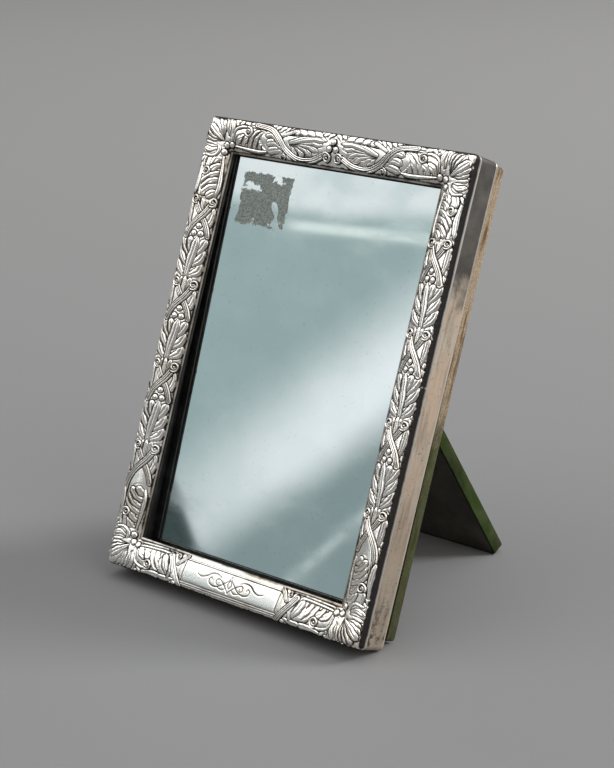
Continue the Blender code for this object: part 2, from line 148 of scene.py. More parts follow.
def window(low, high):
    """The part of the sheet between two corners: its slices, and its x and y."""
    columns = slice(max(0, int(low[0] / CELL)), max(0, int(high[0] / CELL) + 2))
    rows = slice(max(0, int(low[1] / CELL)), max(0, int(high[1] / CELL) + 2))
    return rows, columns, across[columns][None, :], upward[rows][:, None]


def side_of(line, spot, x, y):
    """How far each place lies to the left of the nearest point of the line."""
    ahead = np.gradient(line, axis=0)
    ahead = ahead / np.maximum(np.linalg.norm(ahead, axis=1), 1e-9)[:, None]
    return ahead[spot, 0] * (y - line[spot, 1]) - ahead[spot, 1] * (x - line[spot, 0])


def press(line, half, lift, reeds=0, vein=0, cut=0.9, tilt=0):
    """Pushes up a ridge along a line, half wide and lift high at each of its points."""
    reach = half.max() + CHASE
    rows, columns, x, y = window(line.min(0) - reach, line.max(0) + reach)
    if x.size == 0 or y.size == 0:
        return
    nearest = np.full((y.size, x.size), FAR)
    spot = np.zeros(nearest.shape, int)
    for index, ((px, py), wide) in enumerate(zip(line, half)):
        ratio = np.hypot(x - px, y - py) / wide
        closer = ratio < nearest
        nearest[closer] = ratio[closer]
        spot[closer] = index
    inside = nearest < 1
    body = lift[spot] * np.clip(1 - nearest**2, 0, 1) ** FULLNESS
    if tilt:
        body = body * (1 - tilt * side_of(line, spot, x, y) / half[spot])
    grooves = vein * np.exp(-((nearest / VEIN_WIDTH) ** 2))
    if reeds:
        grooves = grooves + REED_DEPTH * (0.5 - 0.5 * np.cos(math.pi * reeds * nearest)) ** 2
    body = body * (1 - grooves)
    sheet = rise[rows, columns]
    outside = (nearest - 1) * half[spot]
    sheet *= 1 - cut * (1 - np.clip(outside / CHASE, 0, 1)) ** 1.5
    sheet[inside] = body[inside]
    drawn = lines[rows, columns]
    drawn[:] = np.maximum(drawn, cut * (1 - np.clip(outside / LINE_WIDTH, 0, 1)))
    rim = cut * np.clip((nearest - RIM_START) / 0.2, 0, 1) * RIM_DARK
    drawn[inside] = np.maximum(rim, grooves * GROOVE_DARK)[inside]


def stroke(points, width, lift=1.2, root=0.45, tip=0.35, start=0.5, place=same, teeth=0, **form):
    """A leaf lobe or ribbon: it swells from its root to its belly and narrows to its tip."""
    line = place(smooth_line(points))
    along = np.linspace(0, 1, len(line))
    half = width / 2 * np.interp(along, (0, 0.6, 0.85, 1), (root, 1, 0.9, tip))
    if teeth:
        half = half * (1 - TOOTH_DEPTH * (1 - np.abs(np.sin(math.pi * teeth * along))))
    height = lift * np.interp(along, (0, 0.5, 0.9, 1), (start, 0.85, 1, 0.8))
    press(line, half, height, **form)


def lobe(points, width, lift=1.15, place=same, teeth=3, root=0.4, tip=0.3):
    """One lobe of a leaf: notched at its edges, with a vein, and tilted so that it laps over the next."""
    left = points[-1][0] < points[0][0]
    tilt = LOBE_TILT if left else -LOBE_TILT
    stroke(points, width, lift, root, tip, 0.55, place, teeth, vein=0.3, tilt=tilt)


def blade(points, width, lift=0.62, place=same):
    """The wide low body of a leaf, under its lobes. It has no chased line round it."""
    stroke(points, width, lift, root=0.7, tip=0.7, start=0.9, place=place, cut=0)


def ribbon(points, width, lift=1.1, place=same):
    stroke(points, width, lift, root=1, tip=0.9, start=0.9, place=place, reeds=3)


def berry(x, y, radius=1.45, lift=1.35, place=same):
    """A round berry with a small pit in its top."""
    line = place(np.array([(x, y)], float))
    press(line, np.array([radius]), np.array([lift]), cut=1)


def volute(x, y, radius, hand=1, start=0, place=same):
    """A ridge that curls inwards a turn and a half, round an eye."""
    turn = np.linspace(0, 1, 40)
    angle = start + hand * turn * 2.5 * math.pi
    reach = radius * (1 - 0.62 * turn)
    line = place(np.stack([x + reach * np.cos(angle), y + reach * np.sin(angle)], 1))
    press(line, radius * (0.2 - 0.04 * turn), 1.4 - 0.1 * turn, cut=1)
    berry(x, y, 0.22 * radius, 1.3, place)


print("sheet cells", rise.shape)

# %% [markdown]
# ### One unit of a side rail
# Each side rail repeats one motif four times: two volutes, two reeded ribbons that cross under them, three
# berries under the crossing, and an acanthus leaf that grows up to the berries. A leaf is a fan of lobes,
# and its middle lobe comes last, so that it lies on top.

# %% Side rail units
UNIT_LEVELS = (175.9, 136.4, 97.1, 57.7)
ACANTHUS = (
    ((68.2, -36.6), (65.4, -35), (62.7, -33), (61.8, -29.6)),
    ((68.6, -36.6), (71.4, -34.6), (73.9, -31.8), (74.9, -28.4)),
    ((68.1, -32), (65.6, -30), (63.2, -27.6), (61.8, -23.8)),
    ((68.6, -31.6), (71.2, -29.2), (73.6, -26.2), (75, -22.6)),
    ((67.9, -27.6), (65.8, -24.9), (63.7, -21.8), (62.4, -18.2)),
    ((68.3, -27), (70.8, -24.4), (73, -21.4), (74.6, -18)),
    ((67.9, -26.4), (69.4, -22.4), (70.5, -18.2)),
    ((68.4, -40.4), (68.1, -31), (67.2, -24), (66.5, -17.4)),
)
STEM_LOBES = (
    ((66.6, -5.6), (66.2, -2), (65.4, 2.4)),
    ((69.6, -5.6), (69.8, -2), (70.2, 2.4)),
    ((68, -7.4), (68.1, -3), (68.2, 2.8)),
)
RIBBON_UNDER = ((71.3, -1.9), (69.6, -4.6), (67.3, -7.3), (65.3, -10), (63.5, -13), (62.2, -16.6))
RIBBON_OVER = ((64, -2.2), (66.2, -6.2), (69, -9.5), (71.6, -13), (73.4, -17.5))
UNIT_BERRIES = ((67.3, -12.2), (65.6, -15.8), (69.1, -15.9))
ACANTHUS_LOBE = 4.3
SCALLOP_PITCH = 3.1
SCALLOP_WIDTH = 2.6


def side_unit(level, whole=True):
    def at(points):
        return [(x, y + level) for x, y in points]

    for path in STEM_LOBES:
        lobe(at(path), 2.6, 1, teeth=0)
    if whole:
        for path in ACANTHUS:
            lobe(at(path), ACANTHUS_LOBE)
    lobe(at(((62.8, -2.5), (61.7, -6), (61.9, -9), (63.4, -12.4))), 3, 0.95)
    lobe(at(((72.4, -14.5), (73.6, -10.5), (74.2, -6.5), (74.4, -1))), 3.2, 0.95)
    ribbon(at(RIBBON_UNDER), 2.6, 1.1)
    over = RIBBON_OVER if whole else RIBBON_OVER + ((74, -24.5),)
    ribbon(at(over), 3, 1.4)
    if whole:
        for x, y in UNIT_BERRIES:
            berry(x, y + level)
    volute(63.2, level - 0.2, 2.3, hand=-1, start=-1.2)
    volute(72.4, level + 0.2, 2.2, hand=1, start=4.2)


for y in np.arange(6, HEIGHT - 6, SCALLOP_PITCH):
    stroke(((73, y + 1.5), (74.6, y + 0.6), (75.5, y - 1.2)), SCALLOP_WIDTH, 0.8, tip=0.5)
for x in np.arange(2, HALF_WIDTH - 6, SCALLOP_PITCH):
    stroke(((x + 1.5, 213), (x + 0.6, 214.6), (x - 1.2, 215.5)), SCALLOP_WIDTH, 0.8, tip=0.5)
    stroke(((x + 1.5, 3), (x + 0.6, 1.4), (x - 1.2, 0.5)), SCALLOP_WIDTH, 0.8, tip=0.5)
blade(((67.9, 200), (67.9, 108), (67.9, 20)), 13)
for level in UNIT_LEVELS:
    side_unit(level, whole=level > UNIT_LEVELS[-1])
print("side units", len(UNIT_LEVELS), "highest", round(float(rise.max()), 2))

# %% [markdown]
# ### The corners
# A corner is the same along both of its rails: a half leaf with a volute, a horseshoe of ribbon and three
# berries, with a fan of leaf lobes between them at the very corner. It is drawn once for the upper end of
# the side rail. `place` turns its points over the diagonal for the top rail, and upside down for the lower
# corner.

# %% Corners
DIAGONAL = HEIGHT - HALF_WIDTH
HALF_LEAF_LOBES = (
    ((63.2, 197), (66.2, 196), (67.9, 192.4)),
    ((62.9, 193.6), (66.4, 192), (69.2, 187)),
    ((62.6, 190), (66, 188.6), (69.4, 186), (71.6, 183.6)),
    ((62.5, 186.6), (66.2, 185.6), (70.8, 181.2)),
    ((62.4, 183.4), (65.8, 182.6), (70.2, 178.6)),
    ((62.4, 180.6), (64.6, 180), (66.8, 178)),
)
HORSESHOE = ((57.6, 213.4), (57.2, 209.4), (59, 206.6), (62, 206.5), (65, 209), (66.3, 213.7))
FAN_ROOT = (65.2, 205.2)
FAN_TIPS = ((66.4, 214.2), (74.2, 206.4), (68.9, 214.4), (74.4, 208.9), (71.6, 214), (74, 211.6))


def over_diagonal(line):
    return np.stack([line[:, 1] - DIAGONAL, line[:, 0] + DIAGONAL], 1)


def upside_down(line):
    return np.stack([line[:, 0], HEIGHT - line[:, 1]], 1)


def lower_diagonal(line):
    return upside_down(over_diagonal(line))


def half_corner(place):
    """What a corner has along one of its two rails."""
    blade(((66, 197), (67, 190), (66.6, 180)), 12, place=place)
    stroke(((74.6, 193), (73.9, 187), (74.6, 179)), 3, 0.9, place=place, vein=0.3)
    for path in HALF_LEAF_LOBES:
        lobe(path, 4, place=place)
    stroke(((63.4, 198.4), (62.6, 190), (62.3, 183), (63, 178.2)), 1.7, 1.2, place=place)
    stroke(((66, 199.2), (70.8, 198), (72.6, 194.2), (72.4, 190.8)), 1.5, 1.1, start=0.8, place=place)
    volute(70.4, 190.2, 2.4, hand=-1, start=0.3, place=place)
    blade(((60, 205), (61, 210), (61, 214)), 9, place=place)
    stroke(((60.9, 207.8), (59.9, 211), (60.8, 214.8)), 2.6, 1, place=place, vein=0.4)
    stroke(((62.9, 208.4), (63.4, 211.4), (63.8, 214.8)), 2, 0.95, place=place)
    stroke(HORSESHOE, 1.7, 1.2, root=0.7, tip=0.7, start=0.8, place=place)


def corner(near, far):
    half_corner(near)
    half_corner(far)
    blade((FAN_ROOT, (70, 210)), 10, place=near)
    for tip in FAN_TIPS:
        middle = (0.45 * FAN_ROOT[0] + 0.55 * tip[0], 0.45 * FAN_ROOT[1] + 0.55 * tip[1])
        lobe((FAN_ROOT, middle, tip), 4.4, 1.3, near, root=0.25)
    for x, y in ((59.6, 203.6), (63.4, 199.8), (62.7, 203.1)):
        berry(x, y, 1.5, place=near)


corner(same, over_diagonal)
corner(upside_down, lower_diagonal)
print("corners", 4)

# %% [markdown]
# ### The middle of the top rail
# Two ribbons sweep in from the corners and end in volutes beside a cluster of berries. Sprays of leaf fill
# the space over them.

# %% Top rail
SPRAY_ROOT = (25, 208.6)
SPRAY_TIPS = ((20.6, 202.6), (17, 203.4), (12.4, 204.4), (8.8, 206.4), (6.4, 209.2), (4.4, 211.6))
TOP_RIBBON = (
    (5.5, 205), (12, 202.2), (20, 201.8), (27, 205),
    (32, 210), (37, 213.2), (46, 214.3),
)

blade(((26, 208), (16, 208.6), (6, 209.6)), 11)
for tip in SPRAY_TIPS:
    middle = (0.4 * SPRAY_ROOT[0] + 0.6 * tip[0], 0.4 * SPRAY_ROOT[1] + 0.6 * tip[1] + 1.6)
    lobe((SPRAY_ROOT, middle, tip), 4.2)
for reach in (7, 11.5, 16, 20.5):
    lobe(((26.5, 212.2), (reach + 4, 214.2), (reach, 213)), 3.2, 1)
blade(((27, 203), (33, 206), (40, 208)), 9)
lobe(((27.5, 203), (31, 204.6), (38, 203.2)), 3.8)
lobe(((29, 205), (33.5, 207.6), (39, 206.6)), 3.8)
lobe(((31, 207), (35.5, 211), (40, 210.2)), 3.6)
stroke(((39, 214), (44, 214.9), (50, 214.4)), 1.8, 0.9)
ribbon(((23, 214), (29.5, 211.2)), 1.8, 0.9)
ribbon(TOP_RIBBON, 2.8, 1.35)
volute(28.6, 202, 1.9, hand=-1, start=1.2)
volute(3.3, 204.4, 2.4, hand=1, start=0.4)
for x, y in ((1.9, 208.3), (0, 211.6)):
    berry(x, y, 1.5)
print("spray leaves", len(SPRAY_TIPS))

# %% [markdown]
# ### The bottom rail and its plain plate
# The middle of the bottom rail is a smooth plate with fine border lines. The owner's mark would be cut in
# it. Here a scrolling flourish that is no letter stands in its place. It is cut in, so its strokes go down.

# %% Bottom rail
PLATE_HALF = 29.4
PLATE_LOW = 3
PLATE_HIGH = 13.8
PLATE_RISE = 0.75
PLATE_LINE = 0.32
ENGRAVING = 0.22
ENGRAVING_DARK = 0.6
FLOURISH = (
    ((0, 4.6), (1.5, 6.4), (3.9, 8.4), (6.3, 9.7), (7.8, 9), (7.6, 7.4), (6.3, 7.2), (6.1, 8.2)),
    ((0, 12.6), (0.9, 10.4), (2.8, 8.7), (5.2, 6.9), (8.4, 5.9), (11.3, 6.6), (12.1, 8.3),
     (10.9, 9.3), (10, 8.4)),
    ((5.4, 10.4), (8.2, 11.4), (11.6, 11), (14.4, 9.2), (17, 8.4), (19.6, 9)),
    ((6.6, 6), (3.6, 5.4), (2, 6.4)),
    ((0, 6.6), (1.1, 8.6), (0, 10.6)),
)


def lower_plate():
    """A smooth raised plate with a line along its upper and lower borders."""
    rows, columns, x, y = window((0, 0), (PLATE_HALF + 1, PLATE_HIGH + 1))
    side = np.clip((PLATE_HALF - x) / 0.5, 0, 1)
    end = np.clip((y - PLATE_LOW + 1.6) / 0.5, 0, 1) * np.clip((PLATE_HIGH + 0.4 - y) / 0.5, 0, 1)
    plate = PLATE_RISE * side * end
    bare = (side * end > 0.5) | (y < PLATE_HIGH)
    lines[rows, columns] *= ~bare
    border = np.zeros(plate.shape)
    for level in (PLATE_LOW - 0.5, PLATE_LOW + 0.5, PLATE_HIGH - 0.5):
        border = np.maximum(border, np.exp(-(((y - level) / PLATE_LINE) ** 2)) * side)
    between = (y > PLATE_LOW + 0.5) & (y < PLATE_HIGH - 0.5)
    border = np.maximum(border, np.exp(-(((x - PLATE_HALF + 1.2) / PLATE_LINE) ** 2)) * between)
    lines[rows, columns] = np.maximum(lines[rows, columns], 0.7 * border)
    rise[rows, columns] = np.maximum(plate - 0.3 * border, 0)


def engrave(points, width=0.75):
    line = smooth_line(points, 0.2)
    rows, columns, x, y = window(line.min(0) - width, line.max(0) + width)
    nearest = np.full((y.size, x.size), FAR)
    for (px, py), wide in zip(line, np.sin(np.linspace(0.5, 2.6, len(line)))):
        nearest = np.minimum(nearest, np.hypot(x - px, y - py) / (width / 2 * wide + 0.08))
    cut = np.clip(1.3 - nearest, 0, 1)
    rise[rows, columns] -= ENGRAVING * cut
    lines[rows, columns] = np.maximum(lines[rows, columns], ENGRAVING_DARK * cut)


stroke(((33.3, 14.6), (40, 14.9), (50, 14.6), (58, 14.2)), 1.1, 0.8)
blade(((31, 8), (40, 8)), 12)
lobe(((36, 3.4), (39.4, 7), (41.6, 12.4)), 4.2)
lobe(((33.4, 2.6), (37, 1.9), (42.4, 2)), 2.8)
lobe(((36.6, 3), (35.8, 8), (37.4, 12.6)), 3.6)
lower_plate()
ribbon(((28.6, 14.6), (30.4, 12.8), (32.4, 10.2)), 1.9, 0.9)
ribbon(((37.4, 12.6), (34.8, 8.4), (31.8, 4.4), (29.2, 0.8)), 2.9, 1.35)
volute(33.6, 13.4, 1.3, hand=1, start=1)
for cut in FLOURISH:
    engrave(cut)
print("plate", 2 * PLATE_HALF, "mm long")

# %% [markdown]
# ### Polish, tarnish and painted shade
# Rubbing keeps the high places of old silver bright, and black tarnish stays in the hollows. Both follow
# from the sheet: a place is a hollow if it is low, or if it lies lower than what is around it. The blur is
# two running means along each axis, which is quick on a large sheet. A soft random sheet makes the black
# rim at the outer edge ragged, as rubbing leaves it. Towards the sight edge the inner slope is darkened as
# painted shade, which goes into the same sheet as the tarnish.

# %% Hollows of the sheet
BORDER_IN = 0.6
BORDER_OUT = 0.1
GROUND_DARK = 0.2
CREASE_DARK = 0.6
SIGHT_SHADE_AMOUNT = 0.45
OUTER_DARK = 0.9
RAGGED = 0.6
RAGGED_SEED = 3


def running_mean(sheet, reach, axis):
    pad = [(0, 0), (0, 0)]
    pad[axis] = (reach + 1, reach)
    total = np.cumsum(np.pad(sheet, pad, mode="edge"), axis=axis, dtype=float)
    if axis == 0:
        return (total[2 * reach + 1:] - total[: -2 * reach - 1]) / (2 * reach + 1)
    return (total[:, 2 * reach + 1:] - total[:, : -2 * reach - 1]) / (2 * reach + 1)


def blurred(sheet, reach):
    for axis in (0, 1, 0, 1):
        sheet = running_mean(sheet, reach, axis)
    return sheet


edge_x = HALF_WIDTH - across[None, :]
edge_y = np.minimum(upward, HEIGHT - upward)[:, None]
from_edge = np.minimum(edge_x, edge_y)
inner_border = np.clip((RAIL_WIDTH - BORDER_IN - from_edge) / 0.35, 0, 1)
outer_border = np.clip((from_edge - BORDER_OUT) / 0.4, 0, 1)
rise *= (inner_border * outer_border).astype(np.float32)
on_plate_face = ((across[None, :] < PLATE_HALF) & (upward[:, None] < RAIL_WIDTH + 1)).astype(float)
soft = blurred(rise, 1)
around = blurred(rise, 6)
worn = blurred(np.random.default_rng(RAGGED_SEED).random(rise.shape), 4)
worn = RAGGED * (worn - worn.mean()) / (4 * worn.std())
low_ground = GROUND_DARK * np.clip(1 - soft / 0.75, 0, 1) * (1 - on_plate_face)
crease = CREASE_DARK * np.clip((around - soft) / 0.3 - 0.15, 0, 1) * (1 - on_plate_face)
tarnish_and_shade = np.maximum(np.maximum(low_ground, crease), lines) * inner_border
# Painted shade: the inner slope darkens towards the sight edge, and over the plate it darkens from the
# plate's top border up to the sight edge.
sight_edge_shade = SIGHT_SHADE_AMOUNT * np.clip((from_edge + worn - RAIL_WIDTH + 1.7) / 0.6, 0, 1)
over_plate = (across[None, :] < PLATE_HALF) & (upward[:, None] < HEIGHT / 2)
sight_edge_shade = sight_edge_shade * ~over_plate + over_plate * np.clip((from_edge - PLATE_HIGH) / 4.2, 0, 0.8)
outer_slope = OUTER_DARK * np.clip(1.9 - (from_edge + worn) / 0.5, 0, 1)
tarnish_and_shade = np.clip(tarnish_and_shade + sight_edge_shade + outer_slope, 0, 1)
print("mean hollow", round(float(tarnish_and_shade.mean()), 3))


def read_sheet(sheet, x, y):
    """The sheet's value at places between its cells."""
    u = np.clip(np.abs(x) / CELL, 0, len(across) - 1.001)
    v = np.clip(y / CELL, 0, len(upward) - 1.001)
    column = u.astype(int)
    row = v.astype(int)
    u = u - column
    v = v - row
    low = sheet[row, column] * (1 - u) + sheet[row, column + 1] * u
    high = sheet[row + 1, column] * (1 - u) + sheet[row + 1, column + 1] * u
    return low * (1 - v) + high * v

# %% [markdown]
# ## The silver rails
# The front is one thin sheet on the real mirror. As a mesh it is cut at its four mitres, because a relief
# this fine needs a dense grid and a piece should stay light. Each rail is one closed section, with its
# face, side wall, rolled back edge and underside, carried from mitre to mitre. The face takes its height
# from the sheet.

# %% Section of a rail
FACE_STEPS = 72
FINE_STEP = 0.235
CREST = 1.6
SWELL_BIAS = 0.72
SIGHT_DROP = 2
FALL_BIAS = 1.5
SHOULDER_WIDTH = 0.9
SHOULDER_DROP = 0.9
CORNER_ROUND = 2.6
WALL_LEVELS = (-4, -7, -10, -13, -15.2)
EDGE_ROLL = ((0, -15.5), (0.35, -15.75), (0, -16.1), (0.05, -16.55), (0.35, -16.7))
INNER_WALL = ((0.75, -16.5), (0.8, -9), (0.8, -4.2))
UNDERSIDE = (1.8, 4, 8, 12, 15.4)
UNDERSIDE_DROP = 1.1
LIP_THICKNESS = 0.45


def crest(inward):
    """Height of the plain moulding, at a distance in from the outer wall."""
    share = inward / RAIL_WIDTH
    shoulder = np.clip(1 - inward / SHOULDER_WIDTH, 0, 1)
    swell = CREST * np.sin(math.pi * share**SWELL_BIAS)
    return swell - SIGHT_DROP * share**FALL_BIAS - SHOULDER_DROP * shoulder**2


def section():
    """How far in and how high each point of the closed section lies, and how many belong to the face."""
    face = RAIL_WIDTH * (1 - np.linspace(0, 1, FACE_STEPS + 1))
    wall = [(0, level) for level in WALL_LEVELS] + list(EDGE_ROLL) + list(INNER_WALL)
    under = [(inward, crest(inward) - UNDERSIDE_DROP) for inward in UNDERSIDE]
    rest = np.array(wall + under + [(RAIL_WIDTH, crest(RAIL_WIDTH) - LIP_THICKNESS)])
    inward = np.concatenate([face, rest[:, 0]])
    high = np.concatenate([crest(face), rest[:, 1]])
    return inward, high, len(face)


def round_corners(x, y):
    """Draws the four corners of the plan in to a small radius."""
    side = np.sign(x)
    end = np.sign(y - HEIGHT / 2)
    over_x = np.abs(x) - (HALF_WIDTH - CORNER_ROUND)
    over_y = np.abs(y - HEIGHT / 2) - (HEIGHT / 2 - CORNER_ROUND)
    near = (over_x > 0) & (over_y > 0)
    scale = np.where(near, np.maximum(over_x, over_y) / np.maximum(np.hypot(over_x, over_y), 1e-9), 1)
    x = np.where(near, side * (HALF_WIDTH - CORNER_ROUND + over_x * scale), x)
    y = np.where(near, HEIGHT / 2 + end * (HEIGHT / 2 - CORNER_ROUND + over_y * scale), y)
    return x, y


RAILS = {
    "left": (HEIGHT, lambda along, inward: (inward - HALF_WIDTH, along)),
    "right": (HEIGHT, lambda along, inward: (HALF_WIDTH - inward, along)),
    "top": (WIDTH, lambda along, inward: (along - HALF_WIDTH, HEIGHT - inward)),
    "bottom": (WIDTH, lambda along, inward: (along - HALF_WIDTH, inward)),
}
inward, high, face_count = section()
print("section points", len(inward))

# %% [markdown]
# The grid of a rail is made in mesh code, since no operator can raise seventy thousand points by a drawing.
# The sheet of tarnish and painted shade goes with it as an attribute, so that the material knows where
# tarnish stays and where shade is painted. The thin side walls also get the slight waviness that a century
# of handling leaves.

# %% Rails
WAVE = 0.12


def rail_points(name):
    length, placed = RAILS[name]
    stations = int(length / FINE_STEP)
    share = np.linspace(0, 1, stations + 1)[:, None]
    along = inward[None, :] * (1 - share) + (length - inward[None, :]) * share
    x, y = placed(along, np.broadcast_to(inward, along.shape))
    x, y = round_corners(x, y)
    z = np.broadcast_to(high, along.shape).copy()
    z[:, :face_count] += read_sheet(rise, x, y)[:, :face_count]
    dent = np.sin(along * 0.061 + 1) * np.sin(high * 0.35 + along * 0.023)
    wall = (high < WALL_LEVELS[0] + 1) & (high > WALL_LEVELS[-1])
    shift = WAVE * (1 + dent) / 2 * wall * np.clip(np.minimum(share, 1 - share) * 30, 0, 1)
    if name in ("left", "right"):
        x = x - np.sign(x) * shift
    else:
        y = y - np.sign(y - HEIGHT / 2) * shift
    dark = np.zeros(along.shape)
    dark[:, :face_count] = read_sheet(tarnish_and_shade, x, y)[:, :face_count]
    return np.stack([x, y, z], 2), dark


def rail_mesh(name):
    points, dark = rail_points(name)
    stations, ring = dark.shape
    index = np.arange(stations * ring).reshape(stations, ring)
    ahead = np.roll(index, -1, axis=1)
    sides = np.stack([index[:-1], index[1:], ahead[1:], ahead[:-1]], 2).reshape(-1, 4)
    mesh = bpy.data.meshes.new("silver_rail_" + name)
    caps = [index[0].tolist(), index[-1].tolist()]
    mesh.from_pydata((points.reshape(-1, 3) * MM).tolist(), [], sides.tolist() + caps)
    level = mesh.attributes.new("tarnish_and_shade", "FLOAT", "POINT")
    level.data.foreach_set("value", dark.ravel().astype(np.float32))
    on_wall = np.zeros((stations - 1, ring), np.int32)
    on_wall[:, face_count:] = 1
    on_wall[:, face_count + len(WALL_LEVELS) + len(EDGE_ROLL):] = 2
    mesh.polygons.foreach_set("material_index", np.append(on_wall.ravel(), (1, 1)).astype(np.int32))
    return mesh


def finish_rail(name):
    mesh = rail_mesh(name)
    shell = bmesh.new()
    shell.from_mesh(mesh)
    bmesh.ops.recalc_face_normals(shell, faces=shell.faces)
    for face in shell.faces:
        face.smooth = True
    for cap in [face for face in shell.faces if len(face.verts) > 4]:
        cap.smooth = False
        for edge in cap.edges:
            edge.smooth = False
    shell.to_mesh(mesh)
    shell.free()
    rail = bpy.data.objects.new("silver_rail_" + name, mesh)
    bpy.context.scene.collection.objects.link(rail)
    place_mesh(rail, stand_up)
    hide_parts("silver_front")
    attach(rail, "frame")
    return rail


silver_rails = [finish_rail(name) for name in RAILS]
print("rail faces", [len(rail.data.polygons) for rail in silver_rails])

# %% [markdown]
# ## The glass
# An old plate of glass, silvered on its back, with a bevel ground all round its front. It starts as a block
# of its real size. Its front edges are bevelled wide and shallow, by insetting the front face and dropping
# its rim. The plate has slipped in its rebate, so it leans back a little more than the frame.

# %% Mirror plate
GLASS_TOP = 204.4
GLASS_FACE = -4.8
GLASS_HALF = 64.4
GLASS_LENGTH = 192.8
GLASS_THICK = 2.6
GLASS_TILT = math.radians(1.27)
BEVEL_WIDTH = 5
BEVEL_DROP = 0.35
ARRIS = 0.25

glass_axes = stand_up @ Matrix.Translation((0, GLASS_TOP * MM, GLASS_FACE * MM))
glass_axes = glass_axes @ Matrix.Rotation(GLASS_TILT, 4, "X")

bpy.ops.mesh.primitive_cube_add(size=1, location=(0, -GLASS_LENGTH / 2 * MM, -GLASS_THICK / 2 * MM))
mirror_plate = bpy.context.active_object
mirror_plate.name = "mirror_plate"
mirror_plate.scale = (2 * GLASS_HALF * MM, GLASS_LENGTH * MM, GLASS_THICK * MM)
bpy.ops.object.transform_apply(location=False, rotation=False, scale=True)
bpy.ops.object.mode_set(mode="EDIT")
bpy.ops.mesh.select_all(action="DESELECT")
plate = bmesh.from_edit_mesh(mirror_plate.data)
for face in plate.faces:
    face.select_set(face.normal.z > 0.9)
bmesh.update_edit_mesh(mirror_plate.data)
bpy.ops.mesh.inset(thickness=BEVEL_WIDTH * MM, depth=0)
bpy.ops.object.mode_set(mode="OBJECT")
for vertex in mirror_plate.data.vertices:
    on_rim = abs(vertex.co.x) > (GLASS_HALF - 1) * MM and vertex.co.z > 0
    if on_rim:
        vertex.co.z -= BEVEL_DROP * MM
soft_arris = mirror_plate.modifiers.new("soft_arris", "BEVEL")
soft_arris.width = ARRIS * MM
soft_arris.segments = 2
soft_arris.limit_method = "ANGLE"
soft_arris.angle_limit = math.radians(2)
bpy.ops.object.modifier_apply(modifier=soft_arris.name)
bpy.ops.object.shade_flat()
place_mesh(mirror_plate, glass_axes)
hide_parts("mirror_glass")
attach(mirror_plate, "frame")
print("mirror plate faces", len(mirror_plate.data.polygons))

# %% [markdown]
# ## The velvet covers
# Velvet is glued over the back board and over the leg, and turned round their edges. The plain solids of
# the frame already hold the true outlines, with the notch for the hinge. A merged copy of each is cleaned
# to flat faces, and its edges are rounded as thick cloth rounds them.

# %% Covers
CLOTH_ROUND = 0.45


def cover_from(node, name):
    """A softened copy of a plain cover from the frame."""
    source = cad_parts[node]
    cover = bpy.data.objects.new(name, source.data.copy())
    bpy.context.scene.collection.objects.link(cover)
    cover.data.materials.clear()
    bpy.ops.object.select_all(action="DESELECT")
    cover.select_set(True)
    bpy.context.view_layer.objects.active = cover
    bpy.ops.object.mode_set(mode="EDIT")
    bpy.ops.mesh.select_all(action="SELECT")
    bpy.ops.mesh.remove_doubles(threshold=0.00001)
    bpy.ops.mesh.dissolve_limited(angle_limit=math.radians(1))
    bpy.ops.object.mode_set(mode="OBJECT")
    rounding = cover.modifiers.new("rounding", "BEVEL")
    rounding.width = CLOTH_ROUND * MM
    rounding.segments = 3
    rounding.limit_method = "ANGLE"
    rounding.angle_limit = math.radians(40)
    bpy.ops.object.modifier_apply(modifier=rounding.name)
    bpy.ops.object.shade_smooth_by_angle(angle=math.radians(50))
    return cover


back_cover = cover_from("back_velvet", "back_velvet_cover")
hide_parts("back_velvet")
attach(back_cover, "frame")

leg_cover = cover_from("leg_velvet", "leg_velvet_cover")
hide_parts("leg_velvet")
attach(leg_cover, "leg")
print("cover faces", len(back_cover.data.polygons), len(leg_cover.data.polygons))

# %% [markdown]
# ## Helpers for materials
# A material is a small drawing made of nodes. `add` puts in one node, sets its plain values and joins the
# sockets that are handed to it. What a node puts out is wrapped as a `Value`, which adds and multiplies as
# a number does, so that a material reads from top to bottom like a recipe.

# %% Node helpers


def feed(socket, value):
    """Joins a socket to a value, or sets it. A plain colour gets its fourth number here."""
    if isinstance(value, Value):
        value.tree.links.new(value.socket, socket)
    elif socket.type == "RGBA":
        socket.default_value = (*value, 1)
    else:
        socket.default_value = value


def add(tree, kind, inputs=None, **settings):
    item = tree.nodes.new(kind)
    for key, value in settings.items():
        setattr(item, key, value)
    for key, value in (inputs or {}).items():
        feed(item.inputs[key], value)
    return item


class Value:
    """What a node puts out, with the node tree that it is in."""

    def __init__(self, socket):
        self.socket = socket
        self.tree = socket.id_data

    def maths(self, operation, first, second=0):
        item = add(self.tree, "ShaderNodeMath", {0: first, 1: second}, operation=operation)
        return Value(item.outputs["Value"])

    def __add__(self, other):
        return self.maths("ADD", self, other)

    def __sub__(self, other):
        return self.maths("SUBTRACT", self, other)

    def __rsub__(self, other):
        return self.maths("SUBTRACT", other, self)

    def __mul__(self, other):
        return self.maths("MULTIPLY", self, other)

    def __abs__(self):
        return self.maths("ABSOLUTE", self)


def noise(place, scale, detail=3, roughness=0.55, distortion=0):
    values = {"Vector": place, "Scale": scale, "Detail": detail}
    values |= {"Roughness": roughness, "Distortion": distortion}
    return Value(add(place.tree, "ShaderNodeTexNoise", values).outputs["Fac"])


def stretch(place, scale, turn=(0, 0, 0)):
    values = {"Vector": place, "Scale": scale, "Rotation": turn}
    return Value(add(place.tree, "ShaderNodeMapping", values).outputs["Vector"])


def span(value, low, high, to_low=0, to_high=1):
    """Turns the span low to high into to_low to to_high, smoothly, and holds beyond it."""
    values = {"Value": value, "From Min": low, "From Max": high, "To Min": to_low, "To Max": to_high}
    item = add(value.tree, "ShaderNodeMapRange", values, interpolation_type="SMOOTHSTEP")
    return Value(item.outputs["Result"])


